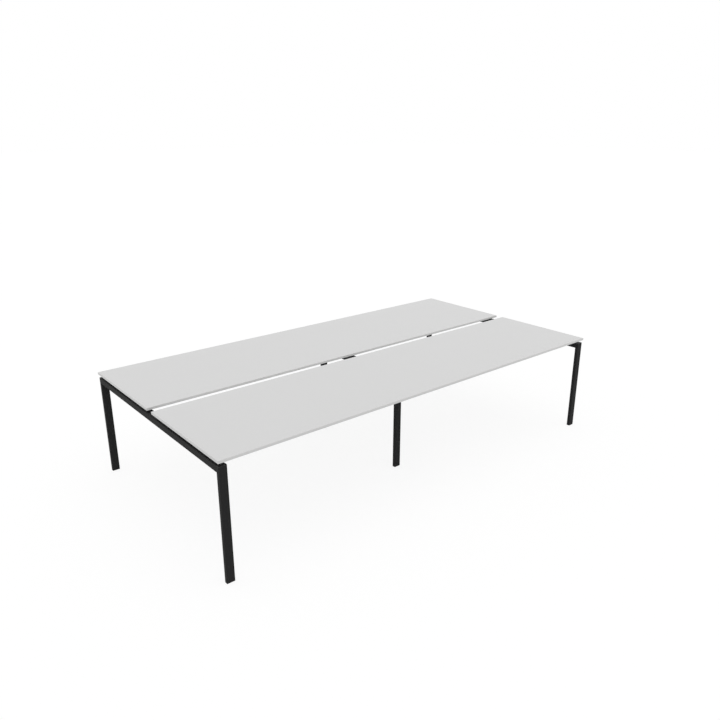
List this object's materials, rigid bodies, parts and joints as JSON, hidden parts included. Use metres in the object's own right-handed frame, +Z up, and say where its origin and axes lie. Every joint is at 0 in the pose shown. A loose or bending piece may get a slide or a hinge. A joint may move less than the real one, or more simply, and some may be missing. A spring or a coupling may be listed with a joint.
{
  "type": "bench desk",
  "caption": "Back-to-back bench desk with two long white worktops, an open cable gap between them, and an open black tube frame on levelling feet.",
  "frame": {"origin": "on the floor, below the middle of the desk", "axes": "+X along the length, +Y from the front row to the rear row, +Z up"},
  "size_m": [3.2, 1.665, 0.74],
  "materials": {
    "white_board": "white melamine-faced chipboard, fine satin texture",
    "white_edging": "white plastic edge strip, satin",
    "black_frame": "black powder coat on steel, fine texture",
    "black_plastic": "black moulded plastic, matt",
    "foot_nylon": "black nylon, satin",
    "zinc_steel": "zinc-plated steel"
  },
  "bodies": {
    "desk": {"front_top_board": "white_board", "front_top_outer_strip": "white_edging", "front_top_inner_strip": "white_edging", "front_top_left_strip": "white_edging", "front_top_right_strip": "white_edging", "rear_top_board": "white_board", "rear_top_outer_strip": "white_edging", "rear_top_inner_strip": "white_edging", "rear_top_left_strip": "white_edging", "rear_top_right_strip": "white_edging", "left_beam": "black_frame", "middle_beam": "black_frame", "right_beam": "black_frame", "front_left_rail": "black_frame", "front_right_rail": "black_frame", "rear_left_rail": "black_frame", "rear_right_rail": "black_frame", "left_front_leg": "black_frame", "left_front_cap": "black_plastic", "left_front_plug": "black_plastic", "left_rear_leg": "black_frame", "left_rear_cap": "black_plastic", "left_rear_plug": "black_plastic", "middle_front_leg": "black_frame", "middle_front_cap": "black_plastic", "middle_front_plug": "black_plastic", "middle_rear_leg": "black_frame", "middle_rear_cap": "black_plastic", "middle_rear_plug": "black_plastic", "right_front_leg": "black_frame", "right_front_cap": "black_plastic", "right_front_plug": "black_plastic", "right_rear_leg": "black_frame", "right_rear_cap": "black_plastic", "right_rear_plug": "black_plastic", "rail_plates": "black_frame", "rail_bolts": "zinc_steel", "rail_rivet_nuts": "zinc_steel", "foot_nuts": "zinc_steel", "top_spacers": "black_plastic", "top_screws": "zinc_steel"},
    "left_front_foot_pad": {"left_front_foot_pad": "foot_nylon"},
    "left_front_foot_stem": {"left_front_foot_stem": "zinc_steel"},
    "left_rear_foot_pad": {"left_rear_foot_pad": "foot_nylon"},
    "left_rear_foot_stem": {"left_rear_foot_stem": "zinc_steel"},
    "middle_front_foot_pad": {"middle_front_foot_pad": "foot_nylon"},
    "middle_front_foot_stem": {"middle_front_foot_stem": "zinc_steel"},
    "middle_rear_foot_pad": {"middle_rear_foot_pad": "foot_nylon"},
    "middle_rear_foot_stem": {"middle_rear_foot_stem": "zinc_steel"},
    "right_front_foot_pad": {"right_front_foot_pad": "foot_nylon"},
    "right_front_foot_stem": {"right_front_foot_stem": "zinc_steel"},
    "right_rear_foot_pad": {"right_rear_foot_pad": "foot_nylon"},
    "right_rear_foot_stem": {"right_rear_foot_stem": "zinc_steel"}
  },
  "joints": [
    {"name": "left_front_foot_travel", "type": "slide", "parent": "desk", "child": "left_front_foot_pad", "axis": [0, 0, -1], "range_m": [0, 0.012]},
    {"name": "left_front_foot_turn", "type": "hinge", "parent": "left_front_foot_pad", "child": "left_front_foot_stem", "pos_m": [-1.5715, -0.8135, 0.02], "axis": [0, 0, -1], "range_deg": [0, 3420]},
    {"name": "left_rear_foot_travel", "type": "slide", "parent": "desk", "child": "left_rear_foot_pad", "axis": [0, 0, -1], "range_m": [0, 0.012]},
    {"name": "left_rear_foot_turn", "type": "hinge", "parent": "left_rear_foot_pad", "child": "left_rear_foot_stem", "pos_m": [-1.5715, 0.8135, 0.02], "axis": [0, 0, -1], "range_deg": [0, 3420]},
    {"name": "middle_front_foot_travel", "type": "slide", "parent": "desk", "child": "middle_front_foot_pad", "axis": [0, 0, -1], "range_m": [0, 0.012]},
    {"name": "middle_front_foot_turn", "type": "hinge", "parent": "middle_front_foot_pad", "child": "middle_front_foot_stem", "pos_m": [0, -0.425, 0.02], "axis": [0, 0, -1], "range_deg": [0, 3420]},
    {"name": "middle_rear_foot_travel", "type": "slide", "parent": "desk", "child": "middle_rear_foot_pad", "axis": [0, 0, -1], "range_m": [0, 0.012]},
    {"name": "middle_rear_foot_turn", "type": "hinge", "parent": "middle_rear_foot_pad", "child": "middle_rear_foot_stem", "pos_m": [0, 0.425, 0.02], "axis": [0, 0, -1], "range_deg": [0, 3420]},
    {"name": "right_front_foot_travel", "type": "slide", "parent": "desk", "child": "right_front_foot_pad", "axis": [0, 0, -1], "range_m": [0, 0.012]},
    {"name": "right_front_foot_turn", "type": "hinge", "parent": "right_front_foot_pad", "child": "right_front_foot_stem", "pos_m": [1.5715, -0.8135, 0.02], "axis": [0, 0, -1], "range_deg": [0, 3420]},
    {"name": "right_rear_foot_travel", "type": "slide", "parent": "desk", "child": "right_rear_foot_pad", "axis": [0, 0, -1], "range_m": [0, 0.012]},
    {"name": "right_rear_foot_turn", "type": "hinge", "parent": "right_rear_foot_pad", "child": "right_rear_foot_stem", "pos_m": [1.5715, 0.8135, 0.02], "axis": [0, 0, -1], "range_deg": [0, 3420]}
  ],
  "couplings": [
    {"joint": "left_front_foot_travel", "follows": "left_front_foot_turn", "m_per_rad": 0.00019894},
    {"joint": "left_rear_foot_travel", "follows": "left_rear_foot_turn", "m_per_rad": 0.00019894},
    {"joint": "middle_front_foot_travel", "follows": "middle_front_foot_turn", "m_per_rad": 0.00019894},
    {"joint": "middle_rear_foot_travel", "follows": "middle_rear_foot_turn", "m_per_rad": 0.00019894},
    {"joint": "right_front_foot_travel", "follows": "right_front_foot_turn", "m_per_rad": 0.00019894},
    {"joint": "right_rear_foot_travel", "follows": "right_rear_foot_turn", "m_per_rad": 0.00019894}
  ]
}
